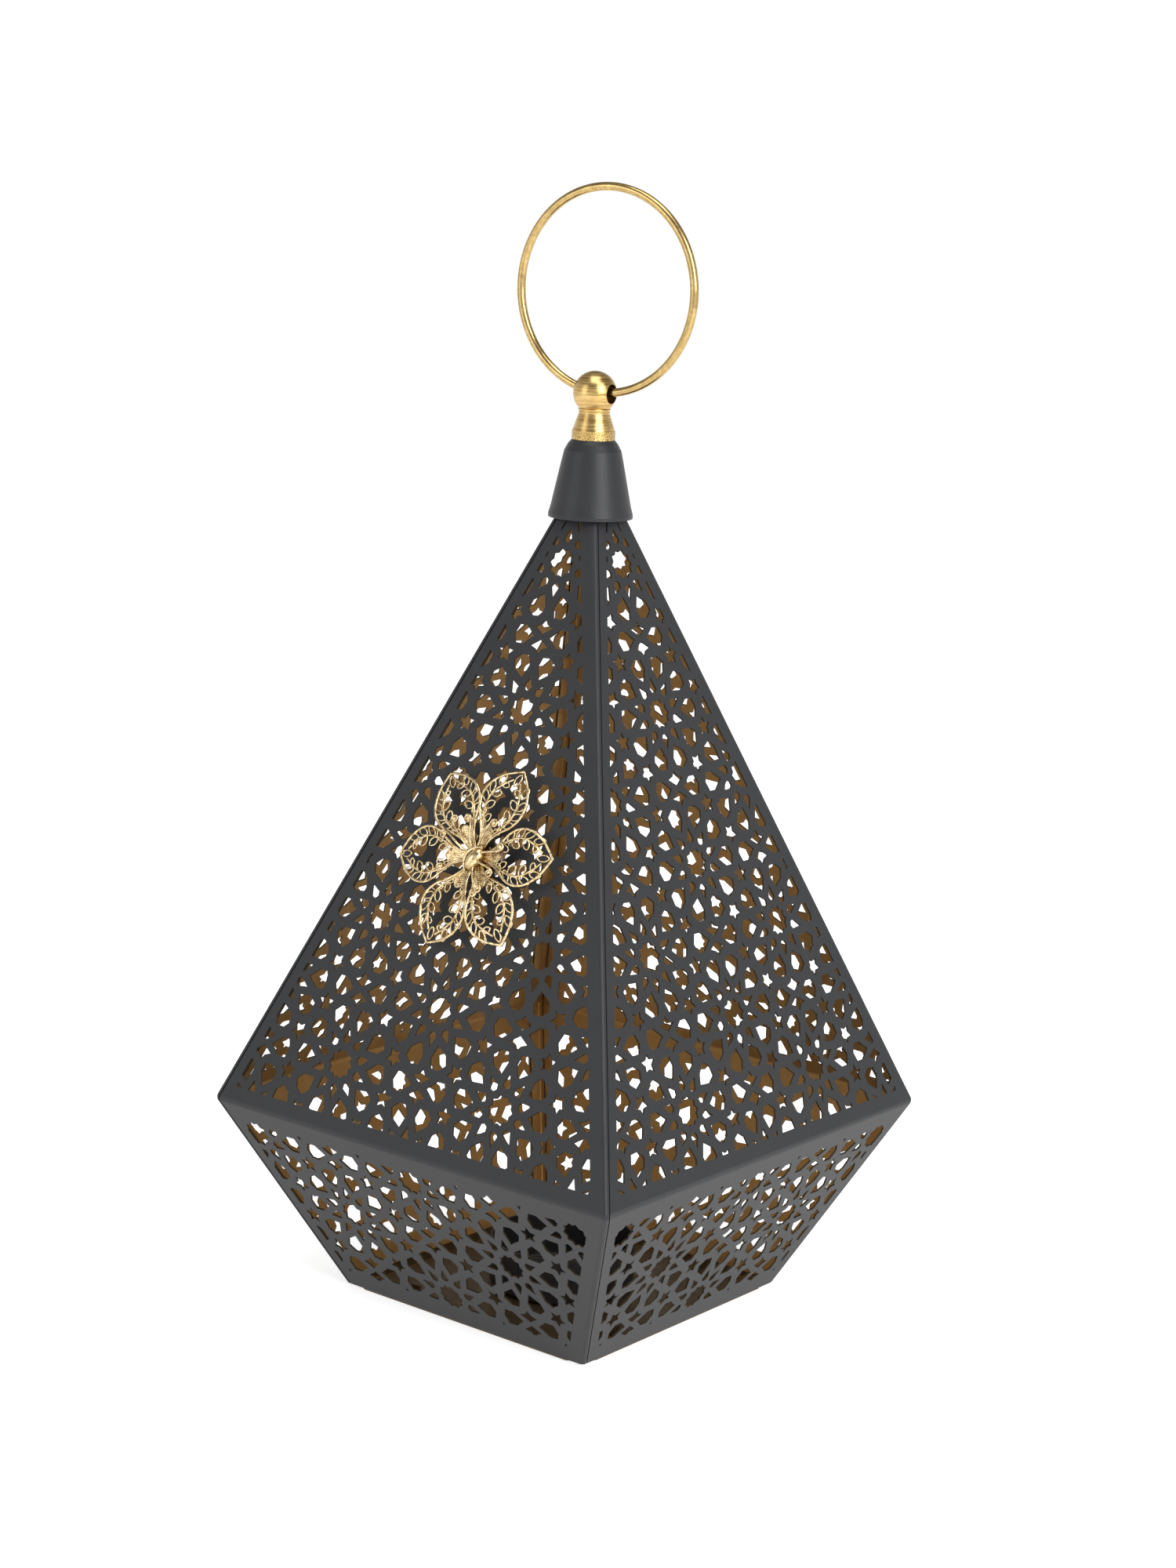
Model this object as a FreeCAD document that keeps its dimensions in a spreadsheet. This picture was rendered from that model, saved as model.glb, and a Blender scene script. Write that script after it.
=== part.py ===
"""Pierced sheet-metal candle lantern: a tall pyramid over a short tapered base, with a hanging ring.

Millimetres, +Z up.  The origin is the centre of the base plate's underside.  Four folded side
panels face -Y (front), +X (right), +Y (back) and -X (left); the filigree flower is on the front.
"""
import FreeCAD, Part
import math
import os
import Sketcher

from FreeCAD import Placement, Rotation, Vector

doc = FreeCAD.newDocument("candle_lantern")

# ---------------------------------------------------------------- driving dimensions
SIZES = [
    # the lantern's outer form
    ("equator_half", 85.0, "half the side of the square at the fold"),
    ("equator_height", 67.0, "height of the fold"),
    ("base_half", 52.5, "half the side at the bottom of the panels"),
    ("apex_height", 289.2, "where the upper faces would meet"),
    ("panel_top_half", 4.8, "half the side where the panels stop inside the cap"),
    # sheet metal
    ("sheet", 0.6, "panel thickness"),
    ("corner_radius", 1.4, "outside radius of the corner bends"),
    ("fold_radius", 2.4, "outside radius of the fold at the equator"),
    ("corner_return", 1.7, "how far a panel carries on round its corner"),
    ("seam_gap", 0.5, "open gap between a panel's return and its neighbour"),
    ("lap_width", 6.3, "reach of the lap flange behind the neighbour"),
    ("lap_depth", 3.0, "the lap flange lies this close behind the neighbour's face"),
    ("flange_width", 6.2, "bottom flange, turned inwards"),
    ("flange_setback", 5.5, "bottom flange's clearance from the corners"),
    ("flange_inset", 0.3, "bottom flange's outer edge, in from the panel's bottom edge"),
    # pierced pattern
    ("rosette_pitch", 42.8, "between neighbouring rosettes' centres"),
    ("upper_side_margin", 6.0, "plain band beside the upper window, level across the face"),
    ("upper_low_margin", 5.5, "plain band above the fold"),
    ("upper_window_top", 217.0, "top of the upper window, up the slope"),
    ("upper_rosette", 47.7, "lowest whole rosette on the centre line, up the slope"),
    ("lower_side_margin", 6.4, "plain band beside the lower window, level across the face"),
    ("lower_top_margin", 6.6, "plain band below the fold"),
    ("lower_bottom_margin", 6.8, "plain band above the bottom edge"),
    ("lower_rosette", 11.8, "upper rosette on the centre line, down the slope"),
    # base plate and candle cup
    ("plate_half", 51.8, "half the side of the base plate"),
    ("plate_sheet", 0.8, "base plate thickness"),
    ("plate_corner_cut", 7.0, "length cut off the base plate's corners"),
    ("lug_width", 9.0, "locating lugs, bent up from the plate"),
    ("lug_rise", 4.0, "locating lugs' height over the plate"),
    ("lug_offset", 34.0, "locating lugs' place along each side"),
    ("lug_play", 0.6, "between a lug and the body's bottom flange"),
    ("cup_radius", 25.0, "candle cup, outside"),
    ("cup_height", 17.0, "candle cup, from the plate to the rim"),
    ("cup_sheet", 0.8, "candle cup thickness"),
    ("cup_corner", 1.6, "outside radius between the cup's floor and wall"),
    # cap
    ("cap_rim_height", 266.6, "lower edge of the cap"),
    ("cap_rim_radius", 13.95, "radius at the rolled rim"),
    ("cap_rim_roll", 1.1, "height of the rolled rim"),
    ("cap_low_radius", 13.25, "radius just above the rim"),
    ("cap_low_rise", 3.6, "from the rim to where the straight cone starts"),
    ("cap_shoulder_radius", 10.3, "radius where the shoulder starts to round over"),
    ("cap_shoulder_rise", 17.8, "from the rim to the shoulder"),
    ("cap_crown_radius", 9.4, "radius partway up the rounded shoulder"),
    ("cap_crown_rise", 21.9, "from the rim to that radius"),
    ("cap_brow_radius", 8.2, "radius where the shoulder turns in to the top"),
    ("cap_brow_rise", 24.1, "from the rim to that radius"),
    ("cap_top_radius", 7.0, "flat top of the cap"),
    ("cap_top_rise", 25.5, "from the rim to the top"),
    ("cap_wall", 0.9, "cap thickness"),
    ("cap_step", 0.45, "the shoulder's inside lies this much below its outside"),
    # finial, its collar and fixing
    ("collar_radius", 7.15, "plain collar under the neck"),
    ("collar_rise", 2.9, "collar height"),
    ("neck_foot_radius", 7.0, "bottom of the flared neck"),
    ("neck_radius", 5.1, "narrow part of the neck"),
    ("neck_flare_rise", 5.6, "height of the flare"),
    ("neck_bead", 0.25, "section radius of the turned bead round the neck"),
    ("neck_bead_rise", 1.3, "bead's height over the flare"),
    ("neck_end", 4.0, "the neck ends inside the ball, this far below its centre"),
    ("ball_radius", 7.2, "ball of the finial"),
    ("ball_height", 307.2, "centre of the ball and of the ring's hole"),
    ("ring_hole", 3.2, "radius of the hole through the ball"),
    ("stud_radius", 2.0, "M4 stud"),
    ("stud_bottom", 266.3, "lower end of the stud"),
    ("stud_top", 300.0, "upper end of the stud, inside the finial"),
    ("thread_gap", 0.05, "radial gap round the stud and the rivet"),
    ("cap_hole_gap", 0.2, "radial gap round the stud in the cap"),
    ("bore_spare", 0.5, "depth of the finial's bore beyond the stud"),
    ("clamp_half", 5.0, "square clamp plate under the top of the panels"),
    ("clamp_height", 270.6, "underside of the clamp plate"),
    ("clamp_thick", 1.5, "clamp plate thickness"),
    ("nut_across", 7.0, "across the flats of the M4 nut"),
    ("nut_rise", 3.2, "nut height"),
    # hanging ring
    ("ring_radius", 33.0, "ring, to the middle of the wire"),
    ("ring_lift", 0.4, "how far the wire stands above the middle of its hole"),
    ("ring_wire", 1.4, "wire radius"),
    ("ring_turn", 6.7, "degrees from +X to the axis of the ring's hole"),
    ("ring_lean", 5.0, "degrees that the ring leans along its hole at rest"),
    # filigree flower
    ("flower_up", 98.5, "flower's centre, up the slope from the fold"),
    ("flower_side", 1.2, "flower's centre, to the right of the panel's middle"),
    ("flower_turn", 9.5, "degrees from level to the first petal"),
    ("petal_tip", 31.6, "from the centre to a petal's tip"),
    ("petal_root", 5.0, "from the centre to a petal's root"),
    ("petal_half", 8.6, "half of a petal's width"),
    ("petal_rim", 1.6, "width of a petal's rim"),
    ("petal_sheet", 0.7, "petal thickness"),
    ("petal_hub", 6.5, "disc that joins the petals"),
    ("petal_stand", 3.0, "petals' height over the panel at their roots"),
    ("petal_rise", 4.0, "degrees that the petals slope away from the panel"),
    ("stamen_reach", 13.5, "from the centre to the end of a stamen"),
    ("stamen_root", 1.0, "from the centre to a stamen's root"),
    ("stamen_half", 1.5, "half of a stamen's width"),
    ("stamen_hub", 4.6, "disc that joins the stamens"),
    ("stamen_rise", 9.0, "degrees that the stamens slope away from the panel"),
    ("bead_radius", 4.4, "dome in the flower's middle"),
    ("bead_rise", 3.2, "height of the dome"),
    ("spacer_radius", 5.2, "disc that the petals are fixed to"),
    ("pin_radius", 1.25, "rivet through the panel"),
    ("tail_radius", 2.0, "peened tail of the rivet"),
    ("tail_rise", 0.7, "height of the rivet's tail"),
    ("washer_radius", 6.6, "backing washer inside the panel"),
    ("washer_thick", 0.8, "backing washer thickness"),
    # cutting tools
    ("over", 1.0, "how far a bore's tool runs past the piece at each end"),
]

sheet = doc.addObject("Spreadsheet::Sheet", "Sizes")
for row, (alias, value, meaning) in enumerate(SIZES, start=1):
    sheet.set("A%d" % row, meaning)
    sheet.set("B%d" % row, str(value))
    sheet.setAlias("B%d" % row, alias)
doc.recompute()


def size(alias):
    """A driving dimension as a plain number."""
    return float(sheet.get(alias))


# Working sizes that several parts share.
EQUATOR, FOLD_Z, APEX_Z = size("equator_half"), size("equator_height"), size("apex_height")
BASE, FLOOR_Z, SHEET = size("base_half"), size("plate_sheet"), size("sheet")
UPPER_SLOPE = math.hypot(EQUATOR, APEX_Z - FOLD_Z)
LOWER_SLOPE = math.hypot(EQUATOR - BASE, FOLD_Z - FLOOR_Z)
UPPER_LEAN = math.degrees(math.atan2(EQUATOR, APEX_Z - FOLD_Z))
LOWER_LEAN = math.degrees(math.atan2(EQUATOR - BASE, FOLD_Z - FLOOR_Z))


# ---------------------------------------------------------------- helpers
def primitive(kind, name, turn=None, **expressions):
    """A Part primitive with its sizes and its place bound to the sheet."""
    thing = doc.addObject("Part::" + kind, name)
    if turn:
        thing.Placement = Placement(Vector(), turn)
    for key, text in expressions.items():
        key = {"at_x": "Placement.Base.x", "at_y": "Placement.Base.y", "at_z": "Placement.Base.z"}.get(key, key)
        thing.setExpression(key, text)
    return thing


def combine(kind, name, first, second):
    """Part::Cut or Part::Common of two objects."""
    thing = doc.addObject("Part::" + kind, name)
    thing.Base, thing.Tool = first, second
    return thing


def fuse(name, *parts):
    thing = doc.addObject("Part::MultiFuse", name)
    thing.Shapes = list(parts)
    thing.Refine = True
    return thing


def moved(name, source, placement):
    """A copy of a finished shape at another place."""
    thing = doc.addObject("Part::Feature", name)
    thing.Shape = source.Shape
    thing.Placement = placement.multiply(source.Placement)
    return thing


def value_of(expression):
    """The number that a sum or difference of sheet expressions comes to."""
    total = 0.0
    for term in expression.replace("- ", "+ -").split("+ "):
        term = term.strip()
        sign = -1.0 if term.startswith("-") else 1.0
        term = term.lstrip("-").strip()
        total += sign * (size(term[len("Sizes."):]) if term.startswith("Sizes.") else float(term))
    return total


def lathe(name, outline):
    """A turned or spun piece: a closed outline of (radius, height) expressions, revolved about Z."""
    body = doc.addObject("PartDesign::Body", name)
    sketch = body.newObject("Sketcher::SketchObject", name + "_outline")
    plane = [p for p in body.Origin.OriginFeatures if p.Role == "XZ_Plane"][0]
    sketch.AttachmentSupport = (plane, [""])
    sketch.MapMode = "FlatFace"
    points = [Vector(value_of(r), value_of(z), 0) for r, z in outline]
    count = len(points)
    for k in range(count):
        sketch.addGeometry(Part.LineSegment(points[k], points[(k + 1) % count]), False)
    for k in range(count):
        sketch.addConstraint(Sketcher.Constraint("Coincident", k, 2, (k + 1) % count, 1))
    for k, (r, z) in enumerate(outline):
        if r == "0":
            sketch.addConstraint(Sketcher.Constraint("PointOnObject", k, 1, -2))
        else:
            at = sketch.addConstraint(Sketcher.Constraint("DistanceX", -1, 1, k, 1, points[k].x))
            sketch.setExpression("Constraints[%d]" % at, r)
        at = sketch.addConstraint(Sketcher.Constraint("DistanceY", -1, 1, k, 1, points[k].y))
        sketch.setExpression("Constraints[%d]" % at, z)
    turned = body.newObject("PartDesign::Revolution", name + "_turned")
    turned.Profile = sketch
    turned.ReferenceAxis = (sketch, ["V_Axis"])
    turned.Angle = 360
    return body


# ---------------------------------------------------------------- nested forms of the lantern
def form(name, inset):
    """The lantern's solid outer form, set in by `inset` sheet thicknesses, with its bends rounded."""
    depth = inset * SHEET
    up, low = math.radians(UPPER_LEAN), math.radians(LOWER_LEAN)

    def upper_half(z):
        return EQUATOR * (APEX_Z - z) / (APEX_Z - FOLD_Z) - depth / math.cos(up)

    def lower_half(z):
        return EQUATOR - (EQUATOR - BASE) * (FOLD_Z - z) / (FOLD_Z - FLOOR_Z) - depth / math.cos(low)

    # the inset faces still meet on the fold's bisector
    rise = (depth / math.cos(low) - depth / math.cos(up)) / (math.tan(up) + math.tan(low))
    fold_z = FOLD_Z + rise
    over = 2.0 * inset
    low_z = FLOOR_Z - over
    top_z = APEX_Z - (APEX_Z - FOLD_Z) * size("panel_top_half") / EQUATOR + over
    radius = max(size("corner_radius") - depth, SHEET)
    rings = [rounded_square(lower_half(low_z), low_z, radius),
             rounded_square(upper_half(fold_z), fold_z, radius),
             rounded_square(upper_half(top_z), top_z, radius)]
    body = Part.makeLoft(rings, True, True)
    equator = [e for e in body.Edges
               if all(abs(v.Z - fold_z) < 1e-4 for v in e.Vertexes)]
    body = body.makeFillet(size("fold_radius") - depth, equator)
    thing = doc.addObject("Part::Feature", name)
    thing.Shape = body
    return thing


def rounded_square(half, z, radius):
    """A square wire with rounded corners, level, centred on Z."""
    flat = half - radius
    edges = []
    for k in range(4):
        turn = math.radians(90 * k)

        def place(x, y):
            return Vector(x * math.cos(turn) - y * math.sin(turn), x * math.sin(turn) + y * math.cos(turn), z)

        edges.append(Part.LineSegment(place(-flat, -half), place(flat, -half)).toShape())
        bulge = flat + radius * math.sqrt(0.5)
        edges.append(Part.Arc(place(flat, -half), place(bulge, -bulge), place(half, -flat)).toShape())
    return Part.Wire(edges)


outer_form = form("outer_form", 0)
inner_form = form("inner_form", 1)
lap_form = form("lap_form", 2)


# ---------------------------------------------------------------- one folded side panel, facing -Y
def beyond(name, depth, turn):
    """Everything more than a depth behind the front outer faces, turned about Z to another side."""
    reach, over = 2 * EQUATOR, 10.0
    low_z, top_z = FLOOR_Z - over, APEX_Z + over
    low_y = -BASE + (EQUATOR - BASE) * over / (FOLD_Z - FLOOR_Z) + depth
    top_y = EQUATOR * over / (APEX_Z - FOLD_Z) + depth
    side = [Vector(-reach, low_y, low_z), Vector(-reach, -EQUATOR + depth, FOLD_Z), Vector(-reach, top_y, top_z),
            Vector(-reach, 2 * reach, top_z), Vector(-reach, 2 * reach, low_z)]
    thing = doc.addObject("Part::Feature", name)
    thing.Shape = Part.Face(Part.makePolygon(side + side[:1])).extrude(Vector(2 * reach, 0, 0))
    thing.Placement = Placement(Vector(), Rotation(Vector(0, 0, 1), turn))
    return thing


def upper_frame(along=0.0, lift=0.0, side=0.0):
    """Placement on the front upper face: x level, y up the slope from the fold, z outwards."""
    lean = math.radians(UPPER_LEAN)
    up = Vector(0, math.sin(lean), math.cos(lean))
    out = Vector(0, -math.cos(lean), math.sin(lean))
    at = Vector(side, -EQUATOR, FOLD_Z) + up * along + out * lift
    return Placement(at, Rotation(Vector(1, 0, 0), 90 - UPPER_LEAN))


def lower_frame():
    """Placement on the front lower face: x level, y down the slope from the fold, z inwards."""
    return Placement(Vector(0, -EQUATOR, FOLD_Z), Rotation(Vector(1, 0, 0), -90 + LOWER_LEAN))


def ray(radius, degrees):
    return Vector(radius * math.cos(math.radians(degrees)), radius * math.sin(math.radians(degrees)), 0)


def outline(points, turn, centre):
    """A closed wire from flat points, turned and then set at a centre."""
    spin = Placement(centre, Rotation(Vector(0, 0, 1), turn))
    placed = [spin.multVec(p) for p in points]
    return Part.makePolygon(placed + placed[:1])


# Hole outlines of one ten-fold rosette, as shares of its pitch.
PITCH = size("rosette_pitch")
VERTEX = PITCH / 2 / math.cos(math.radians(18))
ACROSS, ALONG = PITCH * math.cos(math.radians(36)), 2 * PITCH * math.sin(math.radians(36))
STAR = [ray(PITCH * (0.117 if k % 2 == 0 else 0.096), 18 * k) for k in range(20)]
SMALL_STAR = [ray(PITCH * (0.078 if k % 2 == 0 else 0.040), 36 * k) for k in range(10)]


def shares(*points):
    return [Vector(PITCH * x, PITCH * y, 0) for x, y in points]


KITE = shares((0.164, -0.018), (0.193, -0.038), (0.282, 0), (0.193, 0.038), (0.164, 0.018))
PETAL = shares((0.265, 0), (0.352, -0.073), (0.428, -0.073), (0.458, 0), (0.428, 0.073), (0.352, 0.073))
ARROW = shares((0.450, 0), (0.492, -0.030), (0.512, -0.084), (0.568, 0), (0.512, 0.084), (0.492, 0.030))
BOW_PETAL = [p - Vector(0.190 * PITCH, 0, 0) for p in PETAL]


def rosette(centre):
    """Every hole that belongs to the rosette at a centre, as closed wires."""
    wires = [outline(STAR, 0, centre)]
    for k in range(10):
        wires.append(outline(PETAL, 36 * k, centre))
        wires.append(outline(KITE, 36 * k + 18, centre))
    for degrees in (18, 54, 126, 162):
        wires.append(outline(SMALL_STAR, degrees + 180, centre + ray(VERTEX, degrees)))
    for degrees in (90, 270):
        wires.append(outline(ARROW, degrees, centre))
    for degrees in (0, 180):
        wires.append(outline(BOW_PETAL, degrees, centre + Vector(0, ALONG / 2, 0)))
    return wires


PATCH_RIM = 1.5
SMALLEST_HOLE = 0.35


def grown(window, margin):
    """A trapezoid window, listed from one bottom corner round, grown on every side."""
    middle = sum(window, Vector()) * (1.0 / len(window))
    return [p + Vector(math.copysign(margin, p.x - middle.x), math.copysign(margin, p.y - middle.y), 0)
            for p in window]


def grille(name, window, first, frame, depth):
    """The pierced plate of one window: every hole of the pattern, clipped to the window."""
    window_face = Part.Face(Part.makePolygon(window + window[:1]))
    box = window_face.BoundBox
    rim = grown(window, PATCH_RIM)
    wires = [Part.makePolygon(rim + rim[:1])]
    for column in range(-3, 4):
        for row in range(-2, 6):
            centre = Vector(column * ACROSS, first + (row + 0.5 * (column % 2)) * ALONG, 0)
            for wire in rosette(centre):
                if not wire.BoundBox.intersect(box):
                    continue
                if all(window_face.isInside(v.Point, 1e-6, True) for v in wire.Vertexes):
                    wires.append(wire)
                else:
                    pieces = Part.Face(wire).common(window_face).Faces
                    wires += [f.OuterWire for f in pieces if f.Area > SMALLEST_HOLE]
    thing = doc.addObject("Part::Feature", name)
    thing.Shape = Part.makeFace(wires, "Part::FaceMakerBullseye").extrude(Vector(0, 0, depth))
    thing.Placement = frame
    return thing


def window_cut(name, window, frame):
    """The prism that clears the sheet where a grille goes."""
    rim = grown(window, PATCH_RIM)
    thing = doc.addObject("Part::Feature", name)
    thing.Shape = Part.Face(Part.makePolygon(rim + rim[:1])).extrude(Vector(0, 0, 4 * SHEET))
    thing.Placement = frame.multiply(Placement(Vector(0, 0, -2 * SHEET), Rotation()))
    return thing


def trapezoid(half, first, last):
    """A window's corners, level edges at two distances along the face; half gives its half width there."""
    return [Vector(-half(first), first, 0), Vector(half(first), first, 0),
            Vector(half(last), last, 0), Vector(-half(last), last, 0)]


def upper_window():
    def half(v):
        return EQUATOR * (1 - v / UPPER_SLOPE) - size("upper_side_margin")

    return trapezoid(half, size("upper_low_margin"), size("upper_window_top"))


def lower_window():
    def half(v):
        return EQUATOR - (EQUATOR - BASE) * v / LOWER_SLOPE - size("lower_side_margin")

    return trapezoid(half, size("lower_top_margin"), LOWER_SLOPE - size("lower_bottom_margin"))


upper_grille = grille("upper_grille", upper_window(), size("upper_rosette") - ALONG, upper_frame(), -SHEET)
lower_grille = grille("lower_grille", lower_window(), size("lower_rosette"), lower_frame(), SHEET)

# the blank: the front of the shell, round its right-hand corner, and clear of its left-hand neighbour
shell = combine("Cut", "shell", outer_form, inner_form)
front_band = combine("Cut", "front_band", shell, beyond("front_depth", size("corner_return"), 0))
blank = combine("Common", "panel_blank", front_band,
                beyond("left_clearance", size("corner_return") + size("seam_gap"), -90))
# the lap flange: the next layer in, behind the neighbour on the right
layer = combine("Cut", "lap_layer", inner_form, lap_form)
lap_band = combine("Cut", "lap_band", layer, beyond("lap_reach", size("lap_width"), 0))
lap_side = combine("Cut", "lap_side", lap_band, beyond("lap_limit", size("lap_depth"), 90))
lap_span = primitive("Box", "lap_span", Length="4 * Sizes.equator_half", Width="4 * Sizes.equator_half",
                     Height="(Sizes.apex_height - Sizes.equator_height)"
                            " * (1 - Sizes.panel_top_half / Sizes.equator_half)"
                            " + Sizes.equator_height - Sizes.plate_sheet - Sizes.sheet",
                     at_x="-2 * Sizes.equator_half", at_y="-2 * Sizes.equator_half",
                     at_z="Sizes.plate_sheet + Sizes.sheet")
lap = combine("Common", "lap_flange", lap_side, lap_span)

flange_outer = BASE - size("flange_inset")
flange_inner = BASE - size("flange_width")
flange_end = BASE - size("flange_setback")
corners = [Vector(-flange_end, -flange_outer, FLOOR_Z), Vector(flange_end, -flange_outer, FLOOR_Z),
           Vector(flange_end - size("flange_width"), -flange_inner, FLOOR_Z),
           Vector(-flange_end + size("flange_width"), -flange_inner, FLOOR_Z)]
flange = doc.addObject("Part::Feature", "bottom_flange")
flange.Shape = Part.Face(Part.makePolygon(corners + corners[:1])).extrude(Vector(0, 0, SHEET))
folded = fuse("folded_sheet", blank, lap, flange)
lower_opening = window_cut("lower_opening", lower_window(), lower_frame())
upper_opening = window_cut("upper_opening", upper_window(), upper_frame())
framed_low = combine("Cut", "framed_low", folded, lower_opening)
framed = combine("Cut", "framed", framed_low, upper_opening)
front_panel = fuse("side_panel_front", framed, upper_grille, lower_grille)
doc.recompute()
panels = [front_panel]
for turn, side in ((90, "right"), (180, "back"), (270, "left")):
    panels.append(moved("side_panel_" + side, front_panel, Placement(Vector(), Rotation(Vector(0, 0, 1), turn))))

# ---------------------------------------------------------------- base plate and candle cup
plate_blank = primitive("Box", "plate_blank", Length="2 * Sizes.plate_half", Width="2 * Sizes.plate_half",
                        Height="Sizes.plate_sheet", at_x="-Sizes.plate_half", at_y="-Sizes.plate_half")
doc.recompute()
plate_flat = doc.addObject("Part::Chamfer", "plate_flat")
plate_flat.Base = plate_blank
upright = [k for k, e in enumerate(plate_blank.Shape.Edges, start=1)
           if abs(e.Vertexes[0].Z - e.Vertexes[1].Z) > size("plate_sheet") / 2]
plate_flat.Edges = [(k, size("plate_corner_cut"), size("plate_corner_cut")) for k in upright]
lug_face = "(Sizes.base_half - Sizes.flange_width - Sizes.lug_play)"
lugs = []
for turn in (0, 90, 180, 270):
    lug = primitive("Box", "lug_%d" % turn, Length="Sizes.lug_width", Width="Sizes.plate_sheet",
                    Height="Sizes.plate_sheet + Sizes.lug_rise")
    lug.setExpression(
        "Placement",
        "create(<<placement>>; create(<<vector>>; 0; 0; 0); create(<<rotation>>; create(<<vector>>; 0; 0; 1); %d))"
        " * create(<<placement>>; create(<<vector>>; -Sizes.lug_offset; -%s; 0); create(<<rotation>>; 0; 0; 0))"
        % (turn, lug_face))
    lugs.append(lug)
base_plate = fuse("base_plate", plate_flat, *lugs)

candle_cup = lathe("candle_cup", [
    ("0", "Sizes.plate_sheet"),
    ("Sizes.cup_radius - Sizes.cup_corner", "Sizes.plate_sheet"),
    ("Sizes.cup_radius", "Sizes.plate_sheet + Sizes.cup_corner"),
    ("Sizes.cup_radius", "Sizes.plate_sheet + Sizes.cup_height"),
    ("Sizes.cup_radius - Sizes.cup_sheet", "Sizes.plate_sheet + Sizes.cup_height"),
    ("Sizes.cup_radius - Sizes.cup_sheet", "Sizes.plate_sheet + Sizes.cup_corner"),
    ("Sizes.cup_radius - Sizes.cup_corner", "Sizes.plate_sheet + Sizes.cup_sheet"),
    ("0", "Sizes.plate_sheet + Sizes.cup_sheet")])

# ---------------------------------------------------------------- cap
RIM, WALL, STEP = "Sizes.cap_rim_height", " - Sizes.cap_wall", " - Sizes.cap_step"
CAP_TOP = RIM + " + Sizes.cap_top_rise"
cap = lathe("cap", [
    ("Sizes.cap_rim_radius", RIM),
    ("Sizes.cap_rim_radius", RIM + " + Sizes.cap_rim_roll"),
    ("Sizes.cap_low_radius", RIM + " + Sizes.cap_low_rise"),
    ("Sizes.cap_shoulder_radius", RIM + " + Sizes.cap_shoulder_rise"),
    ("Sizes.cap_crown_radius", RIM + " + Sizes.cap_crown_rise"),
    ("Sizes.cap_brow_radius", RIM + " + Sizes.cap_brow_rise"),
    ("Sizes.cap_top_radius", CAP_TOP),
    ("Sizes.stud_radius + Sizes.cap_hole_gap", CAP_TOP),
    ("Sizes.stud_radius + Sizes.cap_hole_gap", CAP_TOP + WALL),
    ("Sizes.cap_top_radius" + STEP, CAP_TOP + WALL),
    ("Sizes.cap_brow_radius" + WALL, RIM + " + Sizes.cap_brow_rise" + STEP),
    ("Sizes.cap_crown_radius" + WALL, RIM + " + Sizes.cap_crown_rise" + STEP),
    ("Sizes.cap_shoulder_radius" + WALL, RIM + " + Sizes.cap_shoulder_rise" + STEP),
    ("Sizes.cap_low_radius" + WALL, RIM + " + Sizes.cap_low_rise"),
    ("Sizes.cap_rim_radius" + WALL, RIM + " + Sizes.cap_rim_roll"),
    ("Sizes.cap_rim_radius" + WALL, RIM)])

# ---------------------------------------------------------------- finial, collar and their fixing
NECK_FOOT = CAP_TOP + " + Sizes.collar_rise"
NECK_FLARE_TOP = NECK_FOOT + " + Sizes.neck_flare_rise"
BORE = "Sizes.stud_radius + Sizes.thread_gap"
collar_ring = primitive("Cylinder", "collar_ring", Radius="Sizes.collar_radius", Height="Sizes.collar_rise",
                        at_z=CAP_TOP)
collar_bore = primitive("Cylinder", "collar_bore", Radius=BORE, Height="Sizes.collar_rise + 2 * Sizes.over",
                        at_z=CAP_TOP + " - Sizes.over")
finial_collar = combine("Cut", "finial_collar", collar_ring, collar_bore)

neck_flare = primitive("Cone", "neck_flare", Radius1="Sizes.neck_foot_radius", Radius2="Sizes.neck_radius",
                       Height="Sizes.neck_flare_rise", at_z=NECK_FOOT)
neck = primitive("Cylinder", "neck", Radius="Sizes.neck_radius",
                 Height="Sizes.ball_height - Sizes.neck_end - (%s)" % NECK_FLARE_TOP, at_z=NECK_FLARE_TOP)
neck_bead = primitive("Torus", "neck_bead", Radius1="Sizes.neck_radius", Radius2="Sizes.neck_bead",
                      at_z=NECK_FLARE_TOP + " + Sizes.neck_bead_rise")
ball = primitive("Sphere", "ball", Radius="Sizes.ball_radius", at_z="Sizes.ball_height")
finial_solid = fuse("finial_solid", neck_flare, neck, neck_bead, ball)
hole = primitive("Cylinder", "ring_hole", Radius="Sizes.ring_hole", Height="4 * Sizes.ball_radius")
hole_axis = ray(1.0, size("ring_turn"))
ball_centre = Vector(0, 0, size("ball_height"))
hole.Placement = Placement(ball_centre - hole_axis * 2 * size("ball_radius"), Rotation(Vector(0, 0, 1), hole_axis))
finial_crossed = combine("Cut", "finial_crossed", finial_solid, hole)
finial_bore = primitive("Cylinder", "finial_bore", Radius=BORE,
                        Height="Sizes.stud_top + Sizes.bore_spare - (%s)" % NECK_FOOT, at_z=NECK_FOOT)
finial = combine("Cut", "finial", finial_crossed, finial_bore)

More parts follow.
